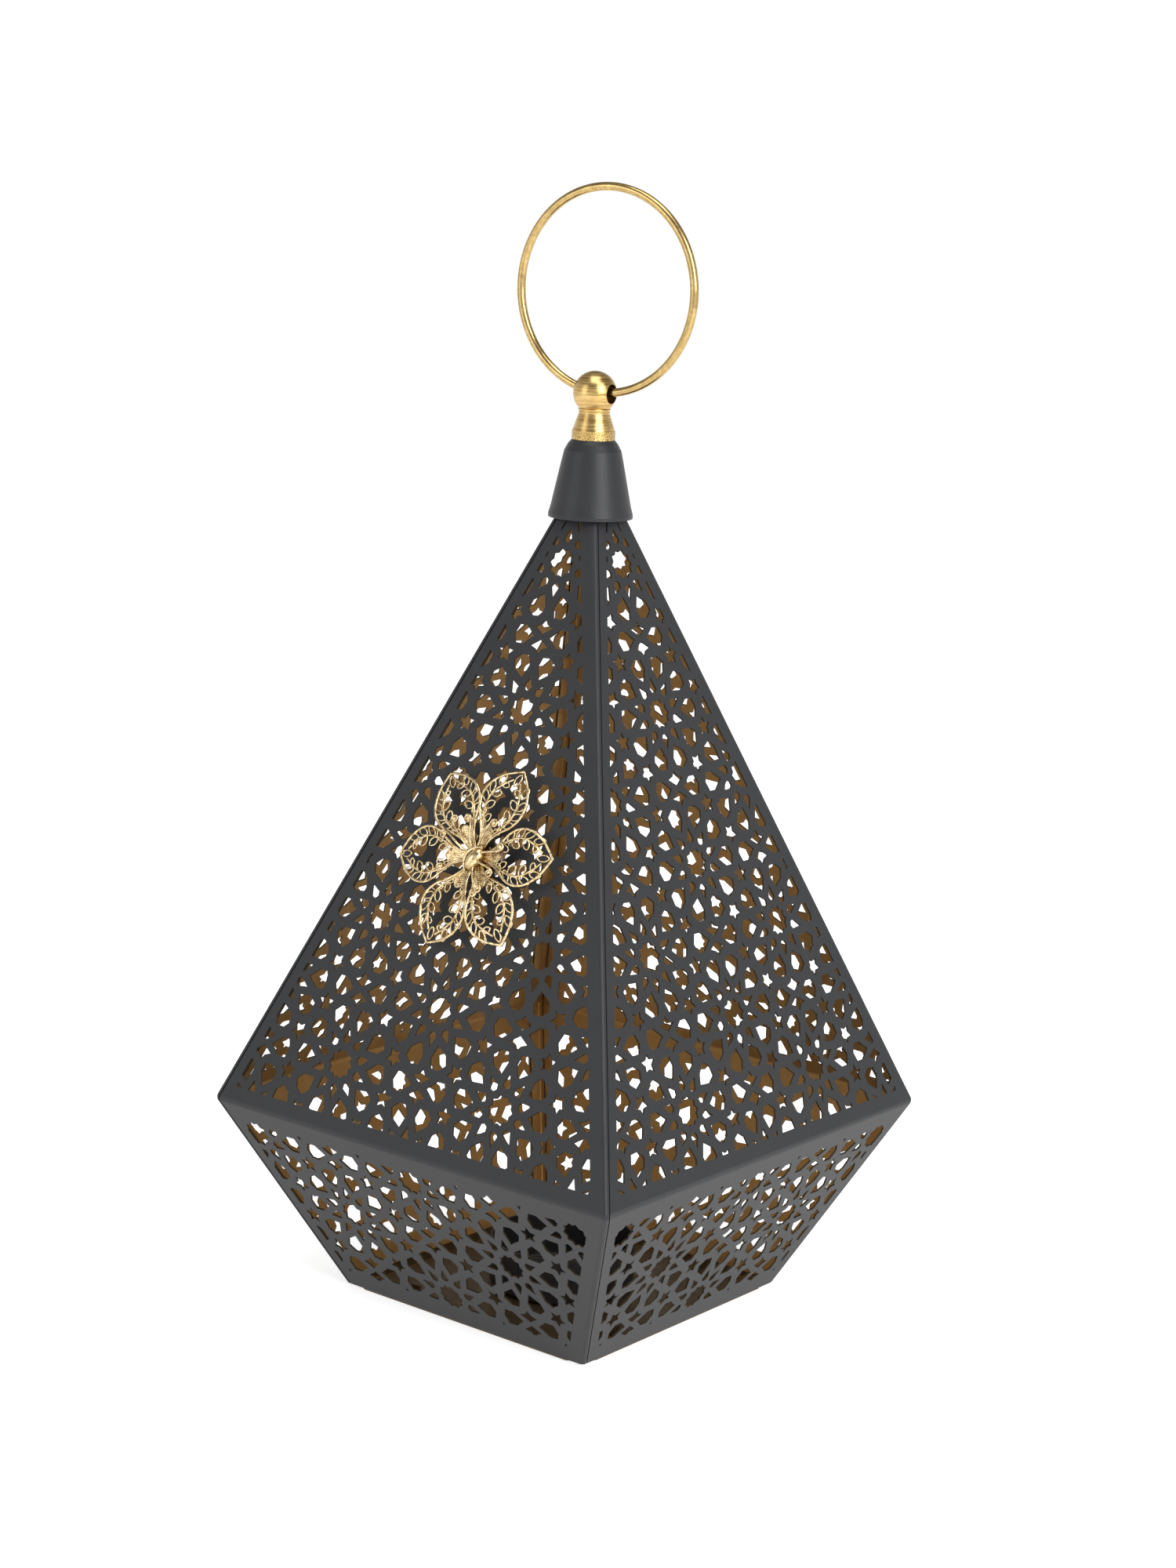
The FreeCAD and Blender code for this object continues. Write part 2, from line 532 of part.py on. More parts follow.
finial_stud = primitive("Cylinder", "finial_stud", Radius="Sizes.stud_radius",
                        Height="Sizes.stud_top - Sizes.stud_bottom", at_z="Sizes.stud_bottom")
clamp_square = primitive("Box", "clamp_square", Length="2 * Sizes.clamp_half", Width="2 * Sizes.clamp_half",
                         Height="Sizes.clamp_thick", at_x="-Sizes.clamp_half", at_y="-Sizes.clamp_half",
                         at_z="Sizes.clamp_height")
clamp_bore = primitive("Cylinder", "clamp_bore", Radius=BORE, Height="Sizes.clamp_thick + 2 * Sizes.over",
                       at_z="Sizes.clamp_height - Sizes.over")
clamp_plate = combine("Cut", "clamp_plate", clamp_square, clamp_bore)
nut_hexagon = primitive("Prism", "nut_hexagon", Polygon="6", Circumradius="Sizes.nut_across / 2 / cos(30)",
                        Height="Sizes.nut_rise", at_z="Sizes.clamp_height - Sizes.nut_rise")
nut_bore = primitive("Cylinder", "nut_bore", Radius=BORE, Height="Sizes.nut_rise + 2 * Sizes.over",
                     at_z="Sizes.clamp_height - Sizes.nut_rise - Sizes.over")
clamp_nut = combine("Cut", "clamp_nut", nut_hexagon, nut_bore)

# ---------------------------------------------------------------- hanging ring
ring_handle = primitive("Torus", "ring_handle", Radius1="Sizes.ring_radius", Radius2="Sizes.ring_wire")
lean = math.radians(size("ring_lean"))
lean_way = hole_axis * math.sin(lean) + Vector(0, 0, math.cos(lean))
ring_middle = ball_centre + Vector(0, 0, size("ring_lift")) + lean_way * size("ring_radius")
ring_normal = hole_axis.cross(Vector(0, 0, 1))
ring_handle.Placement = Placement(ring_middle, Rotation(Vector(0, 0, 1), ring_normal))


# ---------------------------------------------------------------- filigree flower on the front panel
def flower_frame(stand):
    return upper_frame(size("flower_up"), stand, size("flower_side"))


def on_flower(name, kind, stand, **expressions):
    """A round piece of the flower, on its axis at a height over the panel."""
    thing = primitive(kind, name, **expressions)
    thing.Placement = flower_frame(stand)
    return thing


def leaf(root, tip, half):
    """A pointed leaf from root to tip along X, bounded by two arcs."""
    middle = (root + tip) / 2
    ends = [Vector(root, 0, 0), Vector(tip, 0, 0)]
    return Part.Wire([Part.Arc(ends[0], Vector(middle, -half, 0), ends[1]).toShape(),
                      Part.Arc(ends[1], Vector(middle, half, 0), ends[0]).toShape()])


HUB_OVERLAP = 0.3
PIN_BORE = size("pin_radius") + size("thread_gap")


def six_leaves(name, root, tip, half, rim, rise, turn, hub, stand):
    """Six leaves round a hub disc, each bent up from the hub's edge; a rim width leaves them open."""
    thick, over = size("petal_sheet"), size("over")
    bend, end = hub - HUB_OVERLAP, tip + over
    outside = [Vector(bend, -half, 0), Vector(end, -half, 0), Vector(end, half, 0), Vector(bend, half, 0)]
    solids = []
    for k in range(6):
        face = Part.Face(leaf(root, tip, half)).common(Part.Face(Part.makePolygon(outside + outside[:1])))
        if rim:
            face = face.cut(Part.Face(leaf(hub + 2 * rim, tip - 2 * rim, half - rim)))
        blade = face.extrude(Vector(0, 0, thick))
        blade.rotate(Vector(bend, 0, 0), Vector(0, 1, 0), -rise)
        blade.rotate(Vector(), Vector(0, 0, 1), turn + 60 * k)
        solids.append(blade)
    whole = Part.makeCylinder(hub, thick).multiFuse(solids)
    whole = whole.cut(Part.makeCylinder(PIN_BORE, thick + 2 * over, Vector(0, 0, -over)))
    thing = doc.addObject("Part::Feature", name)
    thing.Shape = whole.Solids[0] if len(whole.Solids) == 1 else whole
    thing.Placement = flower_frame(stand)
    return thing


STAMENS_AT = size("petal_stand") + size("petal_sheet")
BEAD_AT = STAMENS_AT + size("petal_sheet")
flower_petals = six_leaves("flower_petals", size("petal_root"), size("petal_tip"), size("petal_half"),
                           size("petal_rim"), size("petal_rise"), size("flower_turn"), size("petal_hub"),
                           size("petal_stand"))
flower_stamens = six_leaves("flower_stamens", size("stamen_root"), size("stamen_reach"), size("stamen_half"), 0,
                            size("stamen_rise"), size("flower_turn") + 30, size("stamen_hub"), STAMENS_AT)
spacer_disc = on_flower("spacer_disc", "Cylinder", 0.0, Radius="Sizes.spacer_radius", Height="Sizes.petal_stand")
spacer_bore = on_flower("spacer_bore", "Cylinder", -size("over"), Radius="Sizes.pin_radius + Sizes.thread_gap",
                        Height="Sizes.petal_stand + 2 * Sizes.over")
flower_spacer = combine("Cut", "flower_spacer", spacer_disc, spacer_bore)

# the rivet: a domed head over the stamens, a pin through the panel, and a peened tail
WASHER_AT = -SHEET - size("washer_thick")
rivet_dome = on_flower("rivet_dome", "Ellipsoid", BEAD_AT, Radius1="Sizes.bead_rise", Radius2="Sizes.bead_radius",
                       Radius3="Sizes.bead_radius", Angle1="0", Angle2="90", Angle3="360")
rivet_pin = on_flower("rivet_pin", "Cylinder", WASHER_AT, Radius="Sizes.pin_radius",
                      Height="Sizes.sheet + Sizes.washer_thick + Sizes.petal_stand + 2 * Sizes.petal_sheet"
                             " + Sizes.bead_rise / 2")
rivet_tail = on_flower("rivet_tail", "Cylinder", WASHER_AT - size("tail_rise"), Radius="Sizes.tail_radius",
                       Height="Sizes.tail_rise")
flower_rivet = fuse("flower_rivet", rivet_dome, rivet_pin, rivet_tail)
washer_disc = on_flower("washer_disc", "Cylinder", WASHER_AT, Radius="Sizes.washer_radius",
                        Height="Sizes.washer_thick")
washer_bore = on_flower("washer_bore", "Cylinder", WASHER_AT - size("over"),
                        Radius="Sizes.pin_radius + Sizes.thread_gap", Height="Sizes.washer_thick + 2 * Sizes.over")
flower_washer = combine("Cut", "flower_washer", washer_disc, washer_bore)

# ---------------------------------------------------------------- check and write the pieces
PIECES = [base_plate, candle_cup, *panels, cap, finial_collar, finial, finial_stud, clamp_plate, clamp_nut,
          ring_handle, flower_petals, flower_stamens, flower_spacer, flower_rivet, flower_washer]
doc.recompute()
for thing in doc.Objects:
    if {"Invalid", "Error"} & set(thing.State):
        raise RuntimeError("%s did not build: %s" % (thing.Label, thing.State))
for piece in PIECES:
    if piece.Shape.isNull() or not piece.Shape.isValid() or not piece.Shape.Solids:
        raise RuntimeError("%s has no valid solid" % piece.Label)

os.makedirs("parts", exist_ok=True)
for piece in PIECES:
    piece.Shape.exportStep("parts/%s.step" % piece.Label)
    print("%-20s %d solid, %8.1f mm3" % (piece.Label, len(piece.Shape.Solids), piece.Shape.Volume))
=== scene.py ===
"""Looks for the candle lantern: paints, brass, the filigree flower, a white studio and the camera.

Metres, in the part's own frame: +Z up, the flower on the panel that faces -Y.
"""
import math

import bpy
from mathutils import Matrix, Vector


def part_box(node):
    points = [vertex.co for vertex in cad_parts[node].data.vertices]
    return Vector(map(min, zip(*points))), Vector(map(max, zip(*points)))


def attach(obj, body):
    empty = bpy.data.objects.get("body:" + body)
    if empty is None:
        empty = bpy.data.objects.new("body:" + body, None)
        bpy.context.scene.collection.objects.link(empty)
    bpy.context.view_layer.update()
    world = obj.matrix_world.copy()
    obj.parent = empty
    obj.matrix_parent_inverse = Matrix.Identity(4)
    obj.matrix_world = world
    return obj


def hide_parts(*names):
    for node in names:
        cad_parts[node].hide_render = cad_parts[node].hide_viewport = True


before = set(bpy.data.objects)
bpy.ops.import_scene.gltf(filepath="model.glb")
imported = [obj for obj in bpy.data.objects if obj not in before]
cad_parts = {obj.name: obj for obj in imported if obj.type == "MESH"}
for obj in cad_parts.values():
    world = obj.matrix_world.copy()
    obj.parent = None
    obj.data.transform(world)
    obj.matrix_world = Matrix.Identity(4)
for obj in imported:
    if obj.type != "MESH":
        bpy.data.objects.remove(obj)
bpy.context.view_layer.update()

MM = 0.001


# ---------------------------------------------------------------- procedural materials
class Surface:
    """A material on one Principled shader, with short ways to add the nodes that feed it."""

    def __init__(self, name, **sockets):
        self.material = bpy.data.materials.new(name)
        self.material.use_nodes = True
        self.tree = self.material.node_tree
        self.shader = self.tree.nodes["Principled BSDF"]
        for socket, value in sockets.items():
            self.shader.inputs[socket.replace("_", " ")].default_value = value
        self.place = self.add("TexCoord").outputs["Object"]
        self.normal = self.add("TexCoord").outputs["Normal"]

    def add(self, kind, **settings):
        node = self.tree.nodes.new("ShaderNode" + kind)
        for key, value in settings.items():
            setattr(node, key, value)
        return node

    def feed(self, socket, value):
        """Sets a socket to a number or colour, or links an output to it."""
        if isinstance(value, bpy.types.NodeSocket):
            self.tree.links.new(value, socket)
        else:
            socket.default_value = value

    def math(self, operation, *values):
        node = self.add("Math", operation=operation)
        for socket, value in zip(node.inputs, values):
            self.feed(socket, value)
        return node.outputs[0]

    def split(self, vector):
        node = self.add("SeparateXYZ")
        self.feed(node.inputs[0], vector)
        return node.outputs

    def stretched(self, x, y, z):
        """The object's coordinates, scaled unevenly, for grain that runs one way."""
        node = self.add("Mapping")
        self.feed(node.inputs["Vector"], self.place)
        node.inputs["Scale"].default_value = (x, y, z)
        return node.outputs[0]

    def noise(self, size, detail=3.0, roughness=0.5, vector=None):
        """Noise whose blobs are about `size` metres across."""
        node = self.add("TexNoise")
        self.feed(node.inputs["Vector"], vector or self.place)
        node.inputs["Scale"].default_value = 1.0 / size
        node.inputs["Detail"].default_value = detail
        node.inputs["Roughness"].default_value = roughness
        return node.outputs["Fac"]

    def cells(self, size):
        node = self.add("TexVoronoi")
        self.feed(node.inputs["Vector"], self.place)
        node.inputs["Scale"].default_value = 1.0 / size
        return node.outputs["Distance"]

    def between(self, value, low, high, to_low=0.0, to_high=1.0):
        """Maps a value from one range to another and clamps it."""
        node = self.add("MapRange")
        for key, number in (("From Min", low), ("From Max", high), ("To Min", to_low), ("To Max", to_high)):
            node.inputs[key].default_value = number
        self.feed(node.inputs["Value"], value)
        return node.outputs[0]

    def blend(self, share, first, second):
        node = self.add("Mix", data_type="RGBA")
        self.feed(node.inputs["Factor"], share)
        self.feed(node.inputs["A"], first)
        self.feed(node.inputs["B"], second)
        return next(o for o in node.outputs if o.type == "RGBA")

    def facing(self, direction):
        """1 where the surface faces a fixed direction, 0 where it lies along it."""
        node = self.add("VectorMath", operation="DOT_PRODUCT")
        self.feed(node.inputs[0], self.normal)
        node.inputs[1].default_value = direction
        return node.outputs["Value"]

    def bump(self, height, depth, below=None):
        """A bump of the given depth in metres, on top of another if one is given."""
        node = self.add("Bump")
        node.inputs["Distance"].default_value = depth
        self.feed(node.inputs["Height"], height)
        if below:
            self.feed(node.inputs["Normal"], below)
        return node.outputs[0]

    def finish(self, **links):
        for socket, output in links.items():
            self.feed(self.shader.inputs[socket.replace("_", " ")], output)
        return self.material


def rgb(red, green, blue):
    return (red, green, blue, 1.0)


# the outer faces of the lantern: half widths and heights at the fold, the bottom edge and the meeting point
EQUATOR = 0.085
FOLD_Z, APEX_Z, FLOOR_Z, BASE = 0.067, 0.2892, 0.0008, 0.0525
UPPER_LEAN = math.atan2(EQUATOR, APEX_Z - FOLD_Z)
LOWER_LEAN = math.atan2(EQUATOR - BASE, FOLD_Z - FLOOR_Z)
# a face turned sideways this near a corner is the panel's return round it, not a cut edge
CORNER_BAND = 3.5 * MM
FLOWER_OUT = Vector((0.0, -math.cos(UPPER_LEAN), math.sin(UPPER_LEAN)))

# the powder coat's two shades of charcoal, its fine grain and its orange peel
CHARCOAL = rgb(0.014, 0.0145, 0.016), rgb(0.020, 0.0205, 0.022)
POWDER_SIZE, POWDER_DEPTH = 0.28 * MM, 0.012 * MM
PEEL_SIZE, PEEL_DEPTH = 1.6 * MM, 0.02 * MM
# the gold paint inside the panels, and the cut edges, which caught little of it
GOLD = rgb(0.30, 0.165, 0.050), rgb(0.43, 0.255, 0.090)
CUT_EDGE = rgb(0.055, 0.040, 0.022)
GOLD_METAL = 0.65
# a face turned less than this far outwards is a cut edge or the inside
OUTWARD = 0.5


def powder_coat(skin):
    """The powder coat's fine grain, and the bump of that grain over orange peel."""
    powder = skin.noise(POWDER_SIZE, 2.0)
    peel = skin.bump(skin.noise(PEEL_SIZE, 2.0), PEEL_DEPTH)
    return powder, skin.bump(powder, POWDER_DEPTH, peel)


def panel_paint():
    """Charcoal powder coat outside, gold paint inside, and dark brown where the holes are cut."""
    skin = Surface("charcoal_and_gold", Specular_IOR_Level=0.3)
    x, y, z = skin.split(skin.place)
    nx, ny, nz = skin.split(skin.normal)
    across_x, across_y = skin.math("ABSOLUTE", x), skin.math("ABSOLUTE", y)
    on_x_side = skin.math("GREATER_THAN", across_x, across_y)
    level_x = skin.math("MULTIPLY", nx, skin.math("SIGN", x))
    level_y = skin.math("MULTIPLY", ny, skin.math("SIGN", y))
    to_x_side = skin.math("SUBTRACT", level_x, level_y)
    level = skin.math("ADD", level_y, skin.math("MULTIPLY", on_x_side, to_x_side))
    upper = skin.math("GREATER_THAN", z, FOLD_Z)
    up_out = skin.math("ADD", skin.math("MULTIPLY", level, math.cos(UPPER_LEAN)),
                       skin.math("MULTIPLY", nz, math.sin(UPPER_LEAN)))
    low_out = skin.math("SUBTRACT", skin.math("MULTIPLY", level, math.cos(LOWER_LEAN)),
                        skin.math("MULTIPLY", nz, math.sin(LOWER_LEAN)))
    outward = skin.math("ADD", low_out, skin.math("MULTIPLY", upper, skin.math("SUBTRACT", up_out, low_out)))
    inside = skin.math("LESS_THAN", outward, -OUTWARD)
    sideways = skin.math("LESS_THAN", skin.math("ABSOLUTE", outward), OUTWARD)
    from_corner = skin.math("ABSOLUTE", skin.math("SUBTRACT", across_x, across_y))
    cut_edge = skin.math("MULTIPLY", sideways, skin.math("GREATER_THAN", from_corner, CORNER_BAND))
    gold = skin.math("MAXIMUM", inside, cut_edge)

    charcoal = skin.blend(skin.noise(18 * MM, 3.0), *CHARCOAL)
    sprayed = skin.blend(skin.noise(6 * MM, 5.0, 0.65), *GOLD)
    colour = skin.blend(gold, charcoal, skin.blend(cut_edge, sprayed, CUT_EDGE))
    powder, grain = powder_coat(skin)
    matt = skin.between(powder, 0.3, 0.7, 0.42, 0.52)
    satin = skin.between(skin.noise(3 * MM, 4.0), 0.3, 0.7, 0.38, 0.52)
    rough = skin.math("ADD", matt, skin.math("MULTIPLY", gold, skin.math("SUBTRACT", satin, matt)))
    metal = skin.math("MULTIPLY", gold, GOLD_METAL)
    return skin.finish(Base_Color=colour, Metallic=metal, Roughness=rough, Normal=grain)


def charcoal_paint():
    """The same powder coat on the cap, its roughness varying a little with the powder's grain."""
    skin = Surface("charcoal_cap", Specular_IOR_Level=0.3)
    colour = skin.blend(skin.noise(12 * MM, 3.0), *CHARCOAL)
    powder, grain = powder_coat(skin)
    return skin.finish(Base_Color=colour, Roughness=skin.between(powder, 0.3, 0.7, 0.38, 0.48), Normal=grain)


def gold_paint():
    """The base plate's gold paint, made far darker than the panels' gold: painted shade for the dim inside of
    the lantern.
    """
    skin = Surface("gold_paint", Metallic=0.5)
    # painted shade: both tones of the base plate's gold are darkened for the shade inside the lantern
    colour = skin.blend(skin.noise(6 * MM, 5.0, 0.65), rgb(0.085, 0.062, 0.036), rgb(0.15, 0.105, 0.058))
    rough = skin.between(skin.noise(3 * MM, 4.0), 0.3, 0.7, 0.38, 0.52)
    grain = skin.bump(skin.noise(0.4 * MM, 2.0), 0.01 * MM)
    return skin.finish(Base_Color=colour, Roughness=rough, Normal=grain)


def black_paint():
    """The candle cup's black paint."""
    skin = Surface("black_paint")
    colour = skin.blend(skin.noise(8 * MM, 3.0), rgb(0.012, 0.012, 0.013), rgb(0.022, 0.022, 0.024))
    rough = skin.between(skin.noise(2 * MM, 4.0), 0.3, 0.7, 0.35, 0.5)
    grain = skin.bump(skin.noise(0.5 * MM, 2.0), 0.01 * MM)
    return skin.finish(Base_Color=colour, Roughness=rough, Normal=grain)


def turned(skin):
    """Fine rings round Z, as a lathe tool leaves them."""
    return skin.noise(0.35 * MM, 3.0, 0.6, skin.stretched(0.04, 0.04, 1.0))


def drawn(skin):
    """The soft unevenness of drawn or cast wire."""
    return skin.noise(1.3 * MM, 3.0, 0.6)


def blasted(skin):
    """The pits that sandblasting leaves."""
    return skin.cells(0.42 * MM)


TARNISH = rgb(0.22, 0.12, 0.035)


def brass(name, dark, light, marks_and_shade, rough, relief, depth, specks_from, lit_from=None):
    """Yellow brass with tarnish in clouds and specks, and a darker colour in its marks.

    `rough` is the roughness at the marks' low and high points, and `depth` is how deep they are. Faces turned
    away from `lit_from` take that darker colour as well: painted shade on the sides of the flower's wires and
    in its recesses.
    """
    skin = Surface(name, Metallic=1.0)
    clouds = skin.between(skin.noise(5 * MM, 5.0, 0.6), 0.35, 0.7)
    marks = relief(skin)
    specks = skin.between(skin.noise(0.5 * MM, 4.0, 0.7), specks_from, specks_from + 0.12)
    worn = skin.blend(skin.between(marks, 0.30, 0.60), marks_and_shade, skin.blend(clouds, light, dark))
    colour = skin.blend(specks, worn, TARNISH)
    if lit_from:
        # painted shade: faces turned away from lit_from are given the darker colour
        colour = skin.blend(skin.between(skin.facing(lit_from), -0.1, 0.55), marks_and_shade, colour)
    return skin.finish(Base_Color=colour, Roughness=skin.between(marks, 0.3, 0.7, *rough),
                       Normal=skin.bump(marks, depth))


def zinc():
    """The hidden fixings' bright zinc plating."""
    skin = Surface("bright_zinc", Metallic=1.0)
    colour = skin.blend(skin.noise(2 * MM, 3.0), rgb(0.55, 0.56, 0.58), rgb(0.68, 0.68, 0.66))
    rough = skin.between(skin.noise(0.6 * MM, 3.0), 0.3, 0.7, 0.3, 0.45)
    return skin.finish(Base_Color=colour, Roughness=rough)


PANEL_PAINT = panel_paint()
CAP_PAINT = charcoal_paint()
GOLD_PAINT_IN_SHADE = gold_paint()
BLACK_PAINT = black_paint()
TURNED_BRASS = brass(
    "turned_brass", dark=rgb(0.50, 0.33, 0.11), light=rgb(0.70, 0.50, 0.21), marks_and_shade=rgb(0.36, 0.22, 0.07),
    rough=(0.18, 0.36), relief=turned, depth=0.045 * MM, specks_from=0.68)
BLASTED_BRASS = brass(
    "blasted_brass", dark=rgb(0.50, 0.33, 0.11), light=rgb(0.72, 0.52, 0.22), marks_and_shade=rgb(0.22, 0.13, 0.04),
    rough=(0.18, 0.36), relief=blasted, depth=0.10 * MM, specks_from=0.64)
WIRE_BRASS = brass(
    "wire_brass", dark=rgb(0.42, 0.29, 0.11), light=rgb(0.58, 0.42, 0.18), marks_and_shade=rgb(0.38, 0.26, 0.10),
    rough=(0.14, 0.24), relief=drawn, depth=0.006 * MM, specks_from=0.74)
# the flower's darker colour is also painted shade, on faces turned away from the panel
FLOWER_GOLD = brass(
    "flower_gold", dark=rgb(0.66, 0.50, 0.26), light=rgb(0.88, 0.73, 0.46), marks_and_shade=rgb(0.30, 0.19, 0.07),
    rough=(0.16, 0.30), relief=drawn, depth=0.012 * MM, specks_from=0.70, lit_from=FLOWER_OUT)
ZINC = zinc()

CAD_MATERIALS = {
    "base_plate": GOLD_PAINT_IN_SHADE, "candle_cup": BLACK_PAINT, "cap": CAP_PAINT,
    "finial_collar": BLASTED_BRASS, "finial": TURNED_BRASS, "ring_handle": WIRE_BRASS,
    "finial_stud": ZINC, "clamp_plate": ZINC, "clamp_nut": ZINC,
    "flower_petals": FLOWER_GOLD, "flower_stamens": FLOWER_GOLD, "flower_spacer": FLOWER_GOLD,
    "flower_rivet": FLOWER_GOLD, "flower_washer": ZINC,
}


def paint(thing, material):
    """Gives an object one material, in place of any that it has."""
    thing.data.materials.clear()
    thing.data.materials.append(material)


for node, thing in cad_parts.items():
    paint(thing, CAD_MATERIALS.get(node, PANEL_PAINT))


# ---------------------------------------------------------------- mesh helpers
def smooth(points, steps=6):
    """A curve through the points (Catmull-Rom), as a finer list of points."""
    ends = [points[0] * 2 - points[1]] + points + [points[-1] * 2 - points[-2]]
    curve = []
    for before, start, end, after in zip(ends, ends[1:], ends[2:], ends[3:]):
        for step in range(steps):
            t = step / steps
            linear = end - before
            square = 2 * before - 5 * start + 4 * end - after
            cube = 3 * start - before - 3 * end + after
            curve.append(0.5 * (2 * start + linear * t + square * t ** 2 + cube * t ** 3))
    return curve + [points[-1]]


def flower_piece(name, part, cad_node):
    """A smooth-shaded piece of the flower, which rides on the lantern's body and stands for a CAD node."""
    verts, faces = part
    mesh = bpy.data.meshes.new(name)
    mesh.from_pydata(verts, [], faces)
    mesh.polygons.foreach_set("use_smooth", [True] * len(mesh.polygons))
    thing = bpy.data.objects.new(name, mesh)
    bpy.context.collection.objects.link(thing)
    paint(thing, FLOWER_GOLD)
    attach(thing, "lantern_body")
    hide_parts(cad_node)


def curve_mesh(paths, plate=False, **settings):
    """Vertices and faces of round wires along paths, or of a flat plate that fills them.

    Each path is a list of points and whether it is closed.
    """
    data = bpy.data.curves.new("path", "CURVE")
    data.dimensions = "2D" if plate else "3D"
    for key, value in settings.items():
        setattr(data, key, value)
    for points, closed in paths:
        spline = data.splines.new("POLY")
        spline.points.add(len(points) - 1)
        for point, place in zip(spline.points, points):
            point.co = (*place, 1.0)
        spline.use_cyclic_u = closed
    holder = bpy.data.objects.new("path", data)
    mesh = bpy.data.meshes.new_from_object(holder)
    verts = [v.co.copy() for v in mesh.vertices]
    faces = [tuple(p.vertices) for p in mesh.polygons]
    bpy.data.objects.remove(holder)
    bpy.data.curves.remove(data)
    bpy.data.meshes.remove(mesh)
    return verts, faces


def joined(parts):
    """Several (vertices, faces) lists as one."""
    verts, faces = [], []
    for more_verts, more_faces in parts:
        first = len(verts)
        verts += more_verts
        faces += [tuple(first + i for i in face) for face in more_faces]
    return verts, faces


# ---------------------------------------------------------------- filigree flower
spacer_middle = sum((Vector(c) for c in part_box("flower_spacer")), Vector()) / 2
FLOWER_SIDE = Vector((1.0, 0.0, 0.0))
FLOWER_UP = FLOWER_OUT.cross(FLOWER_SIDE)
# the flower's own zero is on the panel, half the spacer's height below the spacer's middle
SPACER_RISE = 3.0
FLOWER_AT = spacer_middle - FLOWER_OUT * SPACER_RISE / 2 * MM
# each petal's direction in degrees and its share of the full length: bent by hand, so no two are quite alike
PETALS = [(8.6, 0.985), (70.8, 1.0), (127.5, 0.985), (188.0, 0.985), (251.5, 1.015), (307.8, 1.02)]


def on_flower(x, y, lift):
    """A point in the flower's own millimetres: across, up the panel, and away from it."""
    return FLOWER_AT + (FLOWER_SIDE * x + FLOWER_UP * y + FLOWER_OUT * lift) * MM


ARCH_FOOT, ARCH_RISE, ARCH_SPAN = 3.2, 2.6, 36.0


def arch(x, y):
    """How far the petals stand off the panel: they rise from the middle and bend back at their tips."""
    return ARCH_FOOT + ARCH_RISE * math.sin(math.pi * math.hypot(x, y) / ARCH_SPAN)


def on_petal(degrees, length, point):
    """A point given along a petal, across it and above it, carried to the petal in that direction."""
    turn = math.radians(degrees)
    along, across = point[0] * length, point[1]
    x = along * math.cos(turn) - across * math.sin(turn)
    y = along * math.sin(turn) + across * math.cos(turn)
    return on_flower(x, y, arch(x, y) + point[2])


def on_every_petal(part):
    """A part made along one petal, copied to all six."""
    verts, faces = part
    return joined([([on_petal(*petal, v) for v in verts], faces) for petal in PETALS])


def flat(*points):
    """Points along a petal and across it, level with its wires."""
    return [Vector((along, across, 0.0)) for along, across in points]


def mirrored(points):
    """The same points on the petal's other half."""
    return [Vector((p.x, -p.y, p.z)) for p in points]


def raised(points, lift):
    """The same points, further from the panel."""
    return [p + Vector((0, 0, lift)) for p in points]


LEAF_POINT = 1.4


def leaf(middle, angle, length, width, steps=14):
    """A leaf outline about a middle point, more pointed as LEAF_POINT rises above 1."""
    turn = Matrix.Rotation(angle, 3, "Z")
    outline = []
    for step in range(steps):
        t = math.tau * step / steps
        across = 0.5 * width * math.copysign(abs(math.sin(t)) ** LEAF_POINT, math.sin(t))
        outline.append(turn @ Vector((0.5 * length * math.cos(t), across, 0.0)) + middle)
    return outline


def half_width(edge, along):
    """How far an edge lies from the petal's middle line at one place, and the edge's direction there."""
    for a, b in zip(edge, edge[1:]):
        if a.x <= along <= b.x:
            share = (along - a.x) / (b.x - a.x)
            return a.y + (b.y - a.y) * share, math.atan2(b.y - a.y, b.x - a.x)
    raise ValueError("no edge at %.1f" % along)


# half of a petal, in millimetres along and across: its edge, the stem inside it and the tongue at its root
EDGE = smooth(flat((2.6, 0.9), (7.0, 2.1), (11.0, 4.6), (14.5, 7.6), (18.5, 9.2), (23.0, 8.7), (27.4, 5.9),
                   (30.0, 2.7), (31.8, 0.0)))
STEM = smooth(flat((6.0, 1.2), (9.5, 2.6), (13.0, 4.7), (17.0, 6.1), (21.0, 5.9), (24.6, 4.1), (28.0, 1.6)))
TONGUE = smooth(flat((3.4, 0.5), (6.0, 1.3), (8.6, 1.9), (10.6, 1.3), (11.4, 0.0)))
TONGUE += mirrored(TONGUE)[-2::-1]

# along each half of a petal: leaves that reach from the stem to the rim, and leaves that lean into the middle
LEAF_WIDTH = 2.2
RIM_LEAF_SHIFT, RIM_LEAF_TURN = 1.6, math.radians(38)
INNER_LEAF_SHIFT, INNER_LEAF_TURN = 0.9, math.radians(52)
leaves = []
for along in (9.4, 13.2, 17.0, 20.8, 24.6):
    across, heading = half_width(STEM, along)
    reach = half_width(EDGE, along + RIM_LEAF_SHIFT)[0] - across
    leaves.append(leaf(Vector((along + RIM_LEAF_SHIFT, across + 0.5 * reach, 0.1)), heading + RIM_LEAF_TURN,
                       1.1 * reach + 1.2, LEAF_WIDTH, steps=12))
for along, length in ((12.0, 3.4), (16.2, 3.9), (20.4, 3.9), (24.2, 3.0)):
    across, heading = half_width(STEM, along)
    leaves.append(leaf(Vector((along + INNER_LEAF_SHIFT, across - 0.45 * length, 0.2)),
                       heading - INNER_LEAF_TURN, length, 0.62 * length))
leaves += [mirrored(path) for path in leaves]
leaves.append(leaf(Vector((28.4, 0.0, 0.1)), 0.0, 2 * LEAF_WIDTH, LEAF_WIDTH))


